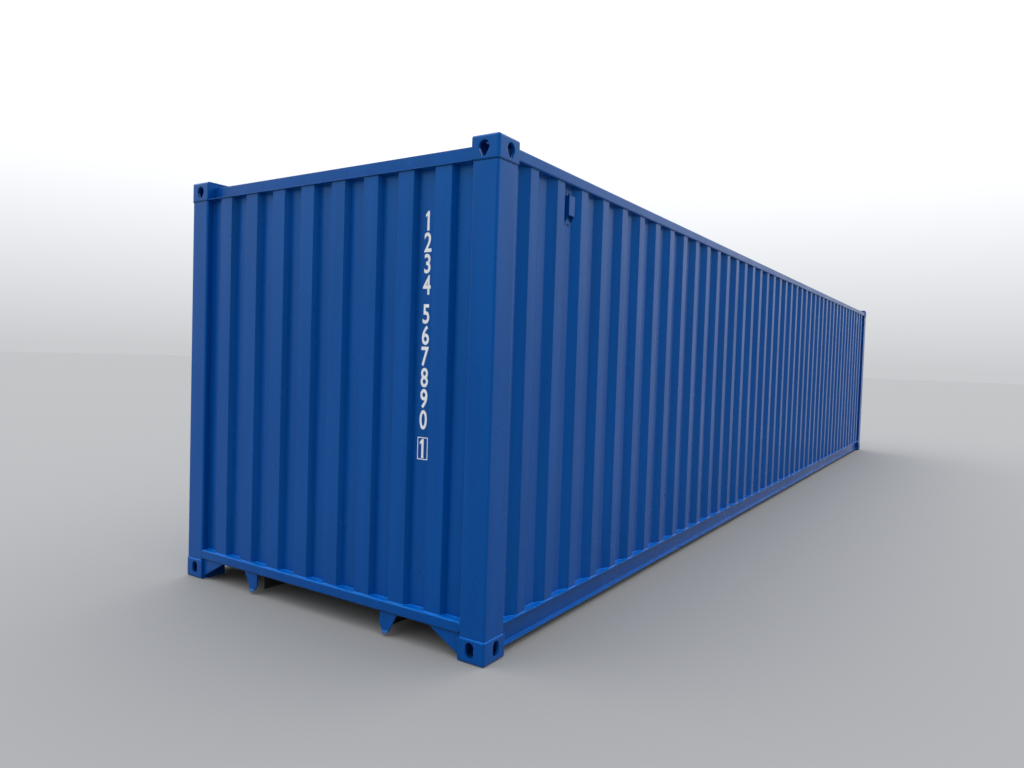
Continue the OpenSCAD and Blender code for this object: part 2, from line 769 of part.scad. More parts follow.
module door_gaskets() {
    lip_end = x_leaf_in + gasket_lip;
    color(rubber) {
        along_x(x_seal, x_leaf_in) difference() {
            leaf_outline(leaf_gap);
            leaf_outline(-gasket_w);
        }
        along_x(x_leaf_in, lip_end) difference() {
            leaf_outline(leaf_gap);
            leaf_outline(0);
        }
        block([x_seal, -gasket_w, z_leaf_low], [x_leaf_in, gasket_w, z_leaf_high]);
        block([x_seal, -y_leaf_in, z_leaf_low], [lip_end, y_leaf_in, z_leaf_high]);
    }
}

// Hinges: two lugs on the post, a blade on the leaf and the pin through them
module hinge() {
    pin = [x_leaf_out + hinge_out, y_leaf_out - hinge_in];
    lug_z = hinge_h / 2 - hinge_play - hinge_lug_h;
    blade_z = lug_z - hinge_play;
    along_z(-hinge_h / 2, hinge_h / 2) translate(pin) circle(hinge_pin_d / 2);
    for (z = [-lug_z - hinge_lug_h, lug_z]) along_z(z, z + hinge_lug_h) {
        translate(pin) circle(hinge_eye_r);
        translate(pin - [hinge_eye_r, 0])
            square([2 * hinge_eye_r, y_face - door_post_w - pin[1]]);
    }
    along_z(-blade_z, blade_z) {
        translate(pin) circle(hinge_eye_r);
        translate([x_leaf_out, pin[1] - hinge_eye_r]) square([hinge_out, hinge_eye_r]);
        translate([x_leaf_out, pin[1] - hinge_blade_l]) square([hinge_blade_t, hinge_blade_l]);
    }
}
module hinges(side) {
    step = (z_leaf_high - z_leaf_low - 2 * hinge_margin) / (hinge_count - 1);
    color(blue) on_side(side) for (i = [0 : hinge_count - 1])
        translate([0, 0, z_leaf_low + hinge_margin + i * step]) hinge();
}

// Locking gear: each cam points to its leaf's middle, so the outer rods are mirrored
module on_rod(k) {
    for (side = SIDES) on_side(side[1])
        translate([x_rod, rod_ys[k], 0]) mirror([0, k, 0]) children();
}
module each_rod() {
    for (k = [0 : 1]) on_rod(k) children();
}
module lock_rods() {
    color(zinc) each_rod() {
        difference() {
            along_z(z_leaf_low - rod_reach, z_leaf_high + rod_reach) circle(rod_d / 2);
            along_z(z_leaf_low, z_leaf_high) circle(rod_d / 2 - rod_t);
        }
        for (z = cam_zs) along_z(z - cam_h / 2, z + cam_h / 2) {
            circle(rod_d / 2 + keeper_gap);
            translate([-cam_w / 2, 0]) square([cam_w, cam_reach]);
        }
    }
}
module cam_keepers() {
    y0 = rod_d / 2 + keeper_play;
    slot_h = cam_h + 2 * keeper_gap;
    slot_w = cam_w + 2 * keeper_gap;
    color(zinc) each_rod() for (z = cam_zs) difference() {
        translate([x_leaf_out - x_rod, y0, z - keeper_h / 2])
            cube([rod_d + rod_gap, keeper_w, keeper_h]);
        translate([-slot_w / 2, y0 - eps, z - slot_h / 2])
            cube([slot_w, cam_reach + keeper_gap - y0 + eps, slot_h]);
    }
}
module rod_bracket(back) {
    plate_w = door_channel_w + 2 * door_slope + 2 * bracket_lap;
    saddle_r = rod_d / 2 + bracket_play + hub_t;
    bore_r = rod_d / 2 + bracket_play;
    along_z(-bracket_h / 2, bracket_h / 2) difference() {
        union() {
            translate([back, -plate_w / 2]) square([-bore_r - back, plate_w]);
            intersection() {
                circle(saddle_r);
                translate([back, -saddle_r]) square(2 * saddle_r);
            }
        }
        circle(bore_r);
    }
}
// One bracket on the leaf's bar at each end of a rod, one on the panel on each side of its handle
// and one midway above
module rod_brackets() {
    on_bar = x_leaf_out - x_rod;
    on_panel = on_bar - leaf_tube_t;
    low = z_leaf_low + cross_bar_h / 2;
    high = z_leaf_high - cross_bar_h / 2;
    color(zinc) for (k = [0 : 1]) on_rod(k) {
        under = handle_z + k * handle_step - bracket_from_hub;
        over = under + 2 * bracket_from_hub;
        for (z = [low, high]) translate([0, 0, z]) rod_bracket(on_bar);
        for (z = [under, over, (over + high) / 2]) translate([0, 0, z]) rod_bracket(on_panel);
    }
}
module lock_handles() {
    hub_r = rod_d / 2 + hub_t;
    color(zinc) for (k = [0 : 1]) on_rod(k)
        translate([0, 0, handle_z + k * handle_step]) difference() {
            union() {
                along_z(-handle_h, handle_h) circle(hub_r);
                translate([handle_out, 0, -handle_h / 2])
                    cube([handle_t, handle_l, handle_h]);
            }
            along_z(-handle_h - eps, handle_h + eps) circle(rod_d / 2);
        }
}
// Each handle's free end lies in a bent cradle, under a bent hasp
module handle_catches() {
    back = x_leaf_out - leaf_tube_t - x_rod;
    out = handle_out + handle_t + catch_play;
    bar = handle_h / 2 + catch_play;
    y0 = handle_l - catch_in - catch_w / 2;
    cradle = [[back, -bar], [out, -bar], [out, catch_lip - bar]];
    hasp = [[out, bar - catch_lip], [out, bar], [back, bar]];
    color(zinc) for (k = [0 : 1]) on_rod(k) translate([0, 0, handle_z + k * handle_step]) {
        for (path = [cradle, hasp])
            along_y(y0, y0 + catch_w) polygon(bent_sheet(path, catch_t));
        for (z = [-bar - catch_reach, bar])
            block([back, y0, z], [back + catch_t, y0 + catch_w, z + catch_reach]);
    }
}

corner_fitting(-1, -1, false);  // fitting_front_left_bottom
corner_fitting(-1, 1, false);  // fitting_front_right_bottom
corner_fitting(-1, -1, true);  // fitting_front_left_top
corner_fitting(-1, 1, true);  // fitting_front_right_top
corner_fitting(1, -1, false);  // fitting_door_left_bottom
corner_fitting(1, 1, false);  // fitting_door_right_bottom
corner_fitting(1, -1, true);  // fitting_door_left_top
corner_fitting(1, 1, true);  // fitting_door_right_top
front_post(-1);  // front_post_left
front_post(1);  // front_post_right
door_post(-1);  // door_post_left
door_post(1);  // door_post_right
front_header();
front_sill();
sill_gussets();
tunnel_lead_plates();
front_wall();
side_wall(-1);  // side_wall_left
side_wall(1);  // side_wall_right
bottom_rail(-1);  // bottom_rail_left
bottom_rail(1);  // bottom_rail_right
top_rail_tube(-1);  // top_rail_left
top_rail_tube(1);  // top_rail_right
roof();
roof_end_plates();
ventilators();
cross_members();
outriggers();
tunnel_roof();
tunnel_side_beams();
floor_boards();
door_header();
door_sill();
door_frame(-1);  // door_frame_left
door_frame(1);  // door_frame_right
door_panel(-1);  // door_panel_left
door_panel(1);  // door_panel_right
door_gaskets();
hinges(-1);  // hinges_left
hinges(1);  // hinges_right
lock_rods();
lock_handles();
handle_catches();
rod_brackets();
cam_keepers();
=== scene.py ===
# %% [markdown]
# # A freshly painted freight container
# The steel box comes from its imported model: forty-odd named pieces at their real size, in metres.
# Here they get their looks: paint, zinc, rubber and plywood, the weld beads that hold the sheets, and a
# row of plain digits where such a box carries its number. Nothing that is loaded is moved or reshaped.

# %% Load the frame
import json
import math

import bmesh
import bpy
from mathutils import Euler, Matrix, Vector, noise

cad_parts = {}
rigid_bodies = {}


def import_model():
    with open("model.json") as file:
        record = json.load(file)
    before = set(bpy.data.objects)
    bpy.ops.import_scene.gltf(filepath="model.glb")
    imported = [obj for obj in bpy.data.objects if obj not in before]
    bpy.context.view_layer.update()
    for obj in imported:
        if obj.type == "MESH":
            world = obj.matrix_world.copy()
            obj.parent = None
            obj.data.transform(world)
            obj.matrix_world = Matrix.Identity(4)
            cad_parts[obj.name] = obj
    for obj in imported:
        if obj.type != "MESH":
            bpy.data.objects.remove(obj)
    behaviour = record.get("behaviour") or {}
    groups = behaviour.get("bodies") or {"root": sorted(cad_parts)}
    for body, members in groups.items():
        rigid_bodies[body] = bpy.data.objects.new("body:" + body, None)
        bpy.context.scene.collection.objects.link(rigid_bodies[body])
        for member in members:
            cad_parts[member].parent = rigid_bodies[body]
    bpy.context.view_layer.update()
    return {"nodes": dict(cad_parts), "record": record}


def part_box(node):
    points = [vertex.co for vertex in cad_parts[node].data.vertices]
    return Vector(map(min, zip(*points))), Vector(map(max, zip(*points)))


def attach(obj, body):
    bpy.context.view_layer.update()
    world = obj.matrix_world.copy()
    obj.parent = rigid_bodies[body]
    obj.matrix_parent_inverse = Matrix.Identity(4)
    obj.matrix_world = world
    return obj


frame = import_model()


# %% [markdown]
# ## The camera
# The photograph was taken standing near the front corner, at eye height, with a wide lens. A camera
# could be turned with a Track To constraint, but then it can't lean, and a hand-held picture always
# leans a little. Heading, pitch and roll say it all. A Blender camera looks straight down at first, so
# its pitch starts from a quarter turn up, at the horizon.

# %% Camera
PHOTO_WIDTH_PX = 1024
FOCAL_PX = 731.1
SENSOR_MM = 36.0
FARTHEST_SEEN = 400
CAMERA_AT = Vector((-8.977, -3.217, 1.519))
HEADING = math.radians(33.18)
PITCH = math.radians(-2.07)
ROLL = math.radians(1.82)
QUARTER_TURN = math.radians(90)

camera = bpy.data.objects.new("camera", bpy.data.cameras.new("camera"))
camera.data.sensor_width = SENSOR_MM
camera.data.lens = SENSOR_MM * FOCAL_PX / PHOTO_WIDTH_PX
camera.data.clip_end = FARTHEST_SEEN
level = Euler((QUARTER_TURN + PITCH, 0, HEADING - QUARTER_TURN)).to_matrix()
camera.matrix_world = Matrix.Translation(CAMERA_AT) @ (level @ Matrix.Rotation(ROLL, 3, "Z")).to_4x4()
bpy.context.scene.collection.objects.link(camera)
bpy.context.scene.camera = camera
print("Lens", round(camera.data.lens, 1), "mm")

# %% [markdown]
# ## Nodes and wires
# A finish is a Principled shader with other nodes wired into it. Written out, each node takes a line to
# make, one for every value and one for every wire, so three small helpers keep the finishes readable.

# %% Nodes and wires
def new_material(name, **sockets):
    """A material with one Principled shader, and the constants set on its own sockets."""
    material = bpy.data.materials.new(name)
    material.use_nodes = True
    shader = material.node_tree.nodes["Principled BSDF"]
    for socket, value in sockets.items():
        shader.inputs[socket.replace("_", " ")].default_value = value
    return material, shader


def add_node(owner, kind, **values):
    """A node of a kind for a material or the world, with inputs set by name and the rest as properties."""
    node = owner.node_tree.nodes.new(kind)
    for name, value in values.items():
        socket = node.inputs.get(name.replace("_", " "))
        if socket is None:
            setattr(node, name, value)
        else:
            socket.default_value = value
    return node


def wire(owner, source, target, out=0):
    """Joins a node's first output, or a named one of it, to an input socket."""
    owner.node_tree.links.new(source.outputs[out], target)


# %% [markdown]
# ## Patterns
# Colour, roughness and bump are driven by noise. Image textures would need files and UVs, so every
# pattern here is worked out from the object's own coordinates, which for these pieces are simply metres.
# A noise's scale is then the number of its lumps in a metre.

# %% Patterns
BEVEL_SAMPLES = 4


def noise_of(material, scale, detail=4.0, stretch=(1, 1, 1), roughness=0.5):
    """Noise over the object's metres, stretched along an axis by a small number there."""
    place = add_node(material, "ShaderNodeTexCoord")
    mapping = add_node(material, "ShaderNodeMapping", Scale=stretch)
    pattern = add_node(material, "ShaderNodeTexNoise", Scale=scale, Detail=detail, Roughness=roughness)
    wire(material, place, mapping.inputs["Vector"], "Object")
    wire(material, mapping, pattern.inputs["Vector"])
    return pattern


def ramp_of(material, source, stops):
    """A colour ramp over a source, from [(position, colour)] stops."""
    ramp = add_node(material, "ShaderNodeValToRGB")
    points = ramp.color_ramp.elements
    while len(points) < len(stops):
        points.new(0.5)
    for point, (position, colour) in zip(points, stops):
        point.position = position
        point.color = (*colour, 1)
    wire(material, source, ramp.inputs["Fac"])
    return ramp


def span_of(material, source, low, high):
    """A source from 0 to 1, mapped to lie from low to high."""
    span = add_node(material, "ShaderNodeMapRange", To_Min=low, To_Max=high)
    wire(material, source, span.inputs["Value"])
    return span


def rounded_edges(material, radius):
    """The normal, turned gently round every edge within a radius."""
    return add_node(material, "ShaderNodeBevel", samples=BEVEL_SAMPLES, Radius=radius)


def bump_chain(material, shader, layers, edge=0.0):
    """Adds bumps on top of each other: [(height node, strength, distance in metres)]."""
    last = rounded_edges(material, edge) if edge else None
    for height, strength, distance in layers:
        bump = add_node(material, "ShaderNodeBump", Strength=strength, Distance=distance)
        wire(material, height, bump.inputs["Height"])
        if last:
            wire(material, last, bump.inputs["Normal"])
        last = bump
    wire(material, last, shader.inputs["Normal"])


def shade(material, shader, pattern, tones, roughness):
    """Drives a shader's colour by a ramp over a pattern, and its roughness by a range over it."""
    wire(material, ramp_of(material, pattern, tones), shader.inputs["Base Color"])
    wire(material, span_of(material, pattern, *roughness), shader.inputs["Roughness"])


def toned(colour, share):
    """A colour made darker by a share under 1, or lighter by one above it."""
    return tuple(c * share for c in colour)


# %% [markdown]
# ## Painted light on the ledges
# A rail's narrow ledge lies open to the whole sky, so on the real box it is far brighter than the web
# under it, and the lower side of an edge is nearly black. The stage's pale floor softens both. More lamps
# would wash out everything else, so these pieces get painted light and shade instead: the height of the
# normal, rounded at the edges, runs through a ramp, and the paint is multiplied by it, lighter where a
# face looks up and darker where it looks down.

# %% Painted light and shade by slope
# Painted light and shade: the paint is multiplied by these, darker on downward faces, lighter on upward
# ones.
PAINTED_SHADE_UNDER_EDGES = (0.25, 0.25, 0.25)
UPRIGHT = (1.0, 1.0, 1.0)
PAINTED_LIGHT_ON_LEDGES = (2.1, 2.1, 1.85)
PAINTED_LIGHT_TONES = [(0.0, PAINTED_SHADE_UNDER_EDGES), (0.34, UPRIGHT), (1.0, PAINTED_LIGHT_ON_LEDGES)]
DARKEST_AT, LIGHTEST_AT = -0.3, 0.6


def painted_light_by_slope(material, tone, edge):
    """Painted shade where the face looks down, and painted light where it looks up, round the edges too."""
    split = add_node(material, "ShaderNodeSeparateXYZ")
    wire(material, rounded_edges(material, edge), split.inputs["Vector"])
    slope = add_node(material, "ShaderNodeMapRange", From_Min=DARKEST_AT, From_Max=LIGHTEST_AT)
    wire(material, split, slope.inputs["Value"], "Z")
    mix = add_node(material, "ShaderNodeMixRGB", blend_type="MULTIPLY", Fac=1.0)
    wire(material, tone, mix.inputs["Color1"])
    wire(material, ramp_of(material, slope, PAINTED_LIGHT_TONES), mix.inputs["Color2"])
    return mix


print("Ledges are lit by", PAINTED_LIGHT_ON_LEDGES, "and undersides by", PAINTED_SHADE_UNDER_EDGES)

# %% [markdown]
# ## Container paint
# The box was sprayed a few days ago: a hard, glossy alkyd over bare steel. Up close such a coat has orange
# peel, a fine dimpling of a few millimetres, and the thin sheet behind it is never quite flat, so long
# reflections wander. Faint upright streaks show where rain has run. The streaks are noise stretched along
# the height, and the wander is a very low, wide bump. Cast steel is stiff, so the castings hardly wander,
# and their edges are rounder than the bends of the sheets.

# %% Paint
PAINT = (0.0, 0.062, 0.302)
PAINT_SHEEN = (0.2, 0.75, 1.0, 1)
STREAKS = ((0.3, 0.86), (0.55, 1.0), (0.8, 1.12))
STREAKS_PER_M, PATCHES_PER_M, DIMPLES_PER_M, WAVES_PER_M = 14.0, 2.3, 260.0, 1.7
DIMPLE_STRENGTH, DIMPLE_DEPTH = 0.16, 0.0012
GLOSS = 0.28
GLOSS_SPREAD = (0.7, 1.35)
SHEET_WANDER, CASTING_WANDER = 0.012, 0.001
SHEET_EDGE, CASTING_EDGE = 0.004, 0.007
LEDGE_EDGE, BEAD_EDGE = 0.008, 0.001
CASTING_GLOSS, BEAD_GLOSS = GLOSS * 1.15, GLOSS * 0.8
# The beads' colour is lighter than the walls': a painted highlight.
PAINTED_HIGHLIGHT_BEAD_COLOUR = toned(PAINT, 1.15)


def paint(name, colour, gloss, wander, edge, painted_light_edge=None):
    material, shader = new_material(name, Metallic=0.0, IOR=1.45, Specular_Tint=PAINT_SHEEN)
    streaks = noise_of(material, STREAKS_PER_M, detail=6.0, stretch=(1.0, 1.0, 0.045), roughness=0.62)
    tone = ramp_of(material, streaks, [(position, toned(colour, share)) for position, share in STREAKS])
    # With a slope edge, the colour gets painted light on upward faces and painted shade on downward ones.
    if painted_light_edge:
        tone = painted_light_by_slope(material, tone, painted_light_edge)
    wire(material, tone, shader.inputs["Base Color"])
    patches = noise_of(material, PATCHES_PER_M, detail=5.0)
    glossiest, dullest = (gloss * share for share in GLOSS_SPREAD)
    wire(material, span_of(material, patches, glossiest, dullest), shader.inputs["Roughness"])
    dimples = noise_of(material, DIMPLES_PER_M, detail=2.0)
    waves = noise_of(material, WAVES_PER_M, detail=1.0, stretch=(1.0, 1.0, 0.6))
    bump_chain(material, shader, [(waves, 1.0, wander), (dimples, DIMPLE_STRENGTH, DIMPLE_DEPTH)], edge)
    return material


blue_paint = paint("container_blue", PAINT, GLOSS, SHEET_WANDER, SHEET_EDGE)
casting_paint = paint("container_blue_on_castings", PAINT, CASTING_GLOSS, CASTING_WANDER, CASTING_EDGE)
# The ledges' paint carries painted light and shade by slope.
ledge_paint_with_painted_light = paint("container_blue_painted_light_on_ledges", PAINT, GLOSS, SHEET_WANDER, SHEET_EDGE, LEDGE_EDGE)
# The beads' paint also carries painted light and shade by slope.
bead_paint_with_painted_light = paint("container_blue_painted_light_on_beads", PAINTED_HIGHLIGHT_BEAD_COLOUR, BEAD_GLOSS, 0.0, 0.0, BEAD_EDGE)
print("Paint", PAINT, "with a roughness of", GLOSS)

# %% [markdown]
# ## Bitumen
# Below the floor the steel isn't blue. It gets a thick, dull, nearly black coat against salt and wet,
# laid on in lumps, so one noise serves its shade, its roughness and its bump. Its near-black also stands
# in for the deep shade under the floor, so it is partly painted shade.

# %% Bitumen
# Near-black: the coat's own colour, and partly painted shade under the floor.
BITUMEN_AND_PAINTED_SHADE = (0.010, 0.012, 0.015)
BITUMEN_TONES = [(0.35, BITUMEN_AND_PAINTED_SHADE), (0.7, toned(BITUMEN_AND_PAINTED_SHADE, 2.0))]
BITUMEN_ROUGHNESS = (0.5, 0.8)
LUMPS_PER_M, LUMP_STRENGTH, LUMP_HEIGHT = 60.0, 0.5, 0.001


def bitumen_finish():
    material, shader = new_material("underside_bitumen", IOR=1.5)
    lumps = noise_of(material, LUMPS_PER_M, detail=6.0)
    shade(material, shader, lumps, BITUMEN_TONES, BITUMEN_ROUGHNESS)
    bump_chain(material, shader, [(lumps, LUMP_STRENGTH, LUMP_HEIGHT)])
    return material


bitumen_and_painted_shade = bitumen_finish()
print("Bitumen", BITUMEN_AND_PAINTED_SHADE)

# %% [markdown]
# ## Zinc
# Door gear is hot-dip galvanised: grey crystals a centimetre wide, each with its own shade. Noise has no
# such flat patches. Voronoi cells do, and their random colour, turned to grey, shades each crystal.
# Dross, the grit of the bath, adds a fine bump.

# %% Zinc
ZINC = (0.50, 0.52, 0.54)
ZINC_TONES = [(0.1, toned(ZINC, 0.78)), (0.9, toned(ZINC, 1.12))]
ZINC_ROUGHNESS = (0.34, 0.52)
CRYSTALS_PER_M = 90.0
DROSS_PER_M, DROSS_STRENGTH, DROSS_HEIGHT = 180.0, 0.25, 0.0008


def zinc_finish():
    material, shader = new_material("galvanised", Metallic=0.85, IOR=1.5)
    place = add_node(material, "ShaderNodeTexCoord")
    spangle = add_node(material, "ShaderNodeTexVoronoi", Scale=CRYSTALS_PER_M)
    wire(material, place, spangle.inputs["Vector"], "Object")
    grey = add_node(material, "ShaderNodeRGBToBW")
    wire(material, spangle, grey.inputs["Color"], "Color")
    shade(material, shader, grey, ZINC_TONES, ZINC_ROUGHNESS)
    dross = noise_of(material, DROSS_PER_M, detail=3.0)
    bump_chain(material, shader, [(dross, DROSS_STRENGTH, DROSS_HEIGHT)])
    return material


zinc = zinc_finish()
print("Zinc", ZINC)

# %% [markdown]
# ## Rubber
# The gaskets round the doors are extruded rubber, nearly black and dull, with fine pits and a little dust.

# %% Rubber
RUBBER = (0.018, 0.018, 0.020)
RUBBER_TONES = [(0.35, RUBBER), (0.75, toned(RUBBER, 2.2))]
RUBBER_ROUGHNESS = (0.55, 0.8)
DUST_PER_M = 30.0
PITS_PER_M, PIT_STRENGTH, PIT_DEPTH = 500.0, 0.2, 0.0005


def rubber_finish():
    material, shader = new_material("gasket_rubber", IOR=1.5, Specular_IOR_Level=0.35)
    dust = noise_of(material, DUST_PER_M, detail=6.0)
    shade(material, shader, dust, RUBBER_TONES, RUBBER_ROUGHNESS)
    bump_chain(material, shader, [(noise_of(material, PITS_PER_M), PIT_STRENGTH, PIT_DEPTH)])
    return material


rubber = rubber_finish()
print("Rubber", RUBBER)

# %% [markdown]
# ## Plywood
# The floor is plywood. Its grain is noise again, stretched along the boards and squeezed across them.

# %% Plywood
PLY = (0.30, 0.15, 0.08)
PLY_TONES = [(0.3, toned(PLY, 0.6)), (0.5, PLY), (0.7, toned(PLY, 1.5))]
PLY_ROUGHNESS = (0.45, 0.7)
ALONG_THE_BOARDS = (0.12, 3.0, 3.0)
GRAIN_PER_M, GRAIN_STRENGTH, GRAIN_HEIGHT = 9.0, 0.3, 0.002


def plywood_finish():
    material, shader = new_material("floor_plywood", IOR=1.5)
    grain = noise_of(material, GRAIN_PER_M, detail=9.0, stretch=ALONG_THE_BOARDS, roughness=0.7)
    shade(material, shader, grain, PLY_TONES, PLY_ROUGHNESS)
    bump_chain(material, shader, [(grain, GRAIN_STRENGTH, GRAIN_HEIGHT)])
    return material


plywood = plywood_finish()
print("Plywood", PLY)

# %% [markdown]
# ## Each piece gets its finish
# The record names a slot for every piece, so one table from slot to material dresses them all, and a
# piece that is added later can't be forgotten. The rails and sills with ledges take the paint with
# painted light and shade by slope.

# %% Dress the loaded pieces
FINISHES = {
    "blue_paint": blue_paint,
    "fitting_paint": casting_paint,
    "underframe_paint": bitumen_and_painted_shade,
    "zinc": zinc,
    "gasket": rubber,
    "plywood": plywood,
}
LEDGES = ("bottom_rail_left", "bottom_rail_right", "front_sill", "door_sill")
slot_of = {row["node"]: row["material_slot"] for row in frame["record"]["subparts"]}
for name, piece in frame["nodes"].items():
    piece.data.materials.clear()
    # Ledge pieces take the paint with painted light and shade.
    piece.data.materials.append(ledge_paint_with_painted_light if name in LEDGES else FINISHES[slot_of[name]])
print("Dressed", len(slot_of), "pieces with", len(FINISHES), "finishes")

# %% [markdown]
# ## Where things are
# Everything that is added below takes its place from the loaded pieces, so it follows them if the model
# changes. Two questions come up again and again: where do a piece's separate solids lie, and along which
# line does a corrugated sheet stand on its rail?

# %% Places read from the frame
SIDES = (("left", -1), ("right", 1))
ALONG_X, ALONG_Y, UP = Vector((1, 0, 0)), Vector((0, 1, 0)), Vector((0, 0, 1))
SAME_POINT = 1e-5
SAME_PLANE = 1e-3
DECIMALS = 4


def solids_of(name):
    """The boxes of a piece's separate solids, as (low, high), from its connected faces."""
    mesh = bmesh.new()
    mesh.from_mesh(frame["nodes"][name].data)
    bmesh.ops.remove_doubles(mesh, verts=mesh.verts, dist=SAME_POINT)
    left, boxes = set(mesh.verts), []
    while left:
        found, waiting = [], [left.pop()]
        while waiting:
            vertex = waiting.pop()
            found.append(vertex.co.copy())
            near = {edge.other_vert(vertex) for edge in vertex.link_edges} & left
            left -= near
            waiting.extend(near)
        boxes.append((Vector(map(min, zip(*found))), Vector(map(max, zip(*found)))))
    mesh.free()
    return sorted(boxes, key=lambda box: tuple(box[0]))


def points_at(name, z):
    """The distinct corners of a piece at a height."""
    vertices = frame["nodes"][name].data.vertices
    points = {tuple(round(c, DECIMALS) for c in vertex.co) for vertex in vertices}
    return [Vector(p) for p in points if abs(p[2] - z) < SAME_PLANE]


def wall_line(name, axis, outward):
    """The corners of a corrugated wall's outer face, in order. It faces outward along the axis."""
    def depth(point):
        return round(point[axis] * outward, DECIMALS)

    corners = points_at(name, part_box(name)[0].z)
    depths = sorted({depth(p) for p in corners})
    recess, rib = depths[1], depths[-1]
    return sorted((p for p in corners if depth(p) in (recess, rib)), key=lambda p: p[1 - axis])


front_line = wall_line("front_wall", 0, -1)
side_lines = {name: wall_line("side_wall_" + name, 1, side) for name, side in SIDES}
print("Corners along the walls:", len(front_line), "at the front,", len(side_lines["left"]), "at each side")

# %% [markdown]
# ## Adding a piece
# A new piece is a mesh from plain lists of points and faces, with one material. It says what it rides
# on, so that it moves with the box.

# %% Adding a piece
def add_mesh(name, verts, faces, material, smooth=True):
    """A new piece that rides with the box, with one material."""
    mesh = bpy.data.meshes.new(name)
    mesh.from_pydata([tuple(v) for v in verts], [], faces)
    mesh.polygons.foreach_set("use_smooth", [smooth] * len(faces))
    mesh.materials.append(material)
    piece = bpy.data.objects.new(name, mesh)
    bpy.context.scene.collection.objects.link(piece)
    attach(piece, "root")
    return piece


# %% [markdown]
# ## Weld beads
# Everything on this box is welded, and the beads show: a bright line where light from the sky strikes
# them, a dark one under an edge. Their paint adds a painted highlight on top and painted shade underneath.
# A curve with a round bevel could draw them, but it has one thickness for all directions. Here a bead is an
# oval tube swept along a line of corners. A hand-held torch never moves quite evenly, so noise along the
# line makes it swell and shrink a little.

# %% A swept bead
RING_STEP = 0.012
RING_SIDES = 8
SWELL = 0.22
SWELLS_PER_M = 55.0


def spaced(corners):
    """Points along a line of corners, no further apart than a step. The corners stay."""
    points = [corners[0]]
    for start, end in zip(corners, corners[1:]):
        count = max(1, math.ceil((end - start).length / RING_STEP))
        points += [start.lerp(end, k / count) for k in range(1, count + 1)]
    return points


def bead_rings(corners, across, tall, up):
    """Rings of an oval tube, with its half width and its half height along up."""
    points = spaced([Vector(p) for p in corners])
    turns = [math.tau * i / RING_SIDES for i in range(RING_SIDES)]
    last = len(points) - 1
    rings = []
    for k, point in enumerate(points):
        along = (points[min(k + 1, last)] - points[max(k - 1, 0)]).normalized()
        side = along.cross(up).normalized()
        rise = side.cross(along)
        swell = 1 + SWELL * noise.noise(point * SWELLS_PER_M)
        oval = [math.cos(a) * across * side + math.sin(a) * tall * rise for a in turns]
        rings.append([point + swell * p for p in oval])
    return rings


def weld(name, beads):
    """One piece from many beads, each (corners, half width, half height, up)."""
    verts, faces = [], []
    pairs = [(i, (i + 1) % RING_SIDES) for i in range(RING_SIDES)]
    for bead in beads:
        first = len(verts)
        for k, ring in enumerate(bead_rings(*bead)):
            base, before = len(verts), len(verts) - RING_SIDES
            verts += ring
            if k:
                faces += [(base + i, base + j, before + j, before + i) for i, j in pairs]
        faces.append(tuple(first + i for i in range(RING_SIDES)))
        faces.append(tuple(len(verts) - 1 - i for i in range(RING_SIDES)))
    # The beads' paint carries a painted highlight and painted shade.
    add_mesh(name, verts, faces, bead_paint_with_painted_light)
    return len(faces)


# %% [markdown]
# ## Seams of the walls and the roof
# The corrugated sheets are welded all along: a full fillet at the foot, where it has to keep water out,
# and a thin seam at the head, at the posts and along the roof.

# %% Wall and roof welds
FILLET = 0.0045
SEAM = 0.003


def seam(start, stop, up):
    """A straight, thin bead."""
    return [start, stop], SEAM, SEAM, up


def wall_beads(name, line, outward):
    """The beads round a corrugated wall, whose outer face follows a line of corners."""
    low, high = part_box(name)
    foot, head = ([Vector((p.x, p.y, z)) for p in line] for z in (low.z, high.z))
    ends = [seam(foot[k], head[k], outward) for k in (0, -1)]
    return [(foot, FILLET, FILLET, UP), (head, SEAM, SEAM, UP), *ends]


count = sum(weld("weld_side_" + name, wall_beads("side_wall_" + name, side_lines[name], ALONG_Y))
            for name, side in SIDES)
count += weld("weld_front", wall_beads("front_wall", front_line, ALONG_X))
low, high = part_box("roof")
count += weld("weld_roof", [seam((low.x, y, low.z), (high.x, y, low.z), UP) for y in (low.y, high.y)])
print("Wall and roof welds with", count, "faces")

# %% [markdown]
# ## Round the posts
# Each post ends on a casting that stands out a few millimetres all round. The bead fills that ledge: a
# bright line round the foot of a post, and a dark one under a top casting, both partly the painted light
# and shade of the beads' paint. It turns the post's corner with the post's own bend, so first the line
# that it follows has to be found.

# %% Lines round the posts
ENDS = (("front", -1), ("door", 1))
LEDGE_DEEP = 0.0032
LEDGE_TALL = 0.0065
HANGING_TALL = 0.008
BEND_STEPS = 6


def bend(corner, start, stop, radius):
    """Points round a square corner, from the direction of start to the direction of stop."""
    a, b = (start - corner).normalized(), (stop - corner).normalized()
    centre = corner + radius * (a + b)
    turns = [math.pi / 2 * k / BEND_STEPS for k in range(BEND_STEPS + 1)]
    return [centre - radius * (math.sin(t) * a + math.cos(t) * b) for t in turns]


def ledge_line(name, direction, side, z):
    """Along a post's two outer faces at a height, round its corner."""
    points = points_at(name, z)
    x_out = direction * max(p.x * direction for p in points)
    y_out = side * max(p.y * side for p in points)
    end_face = [p for p in points if abs(p.x - x_out) < SAME_PLANE]
    side_face = [p for p in points if abs(p.y - y_out) < SAME_PLANE]
    start = min(end_face, key=lambda p: p.y * side)
    stop = min(side_face, key=lambda p: p.x * direction)
    radius = abs(y_out) - max(abs(p.y) for p in end_face)
    return [start, *bend(Vector((x_out, y_out, z)), start, stop, max(radius, LEDGE_DEEP)), stop]


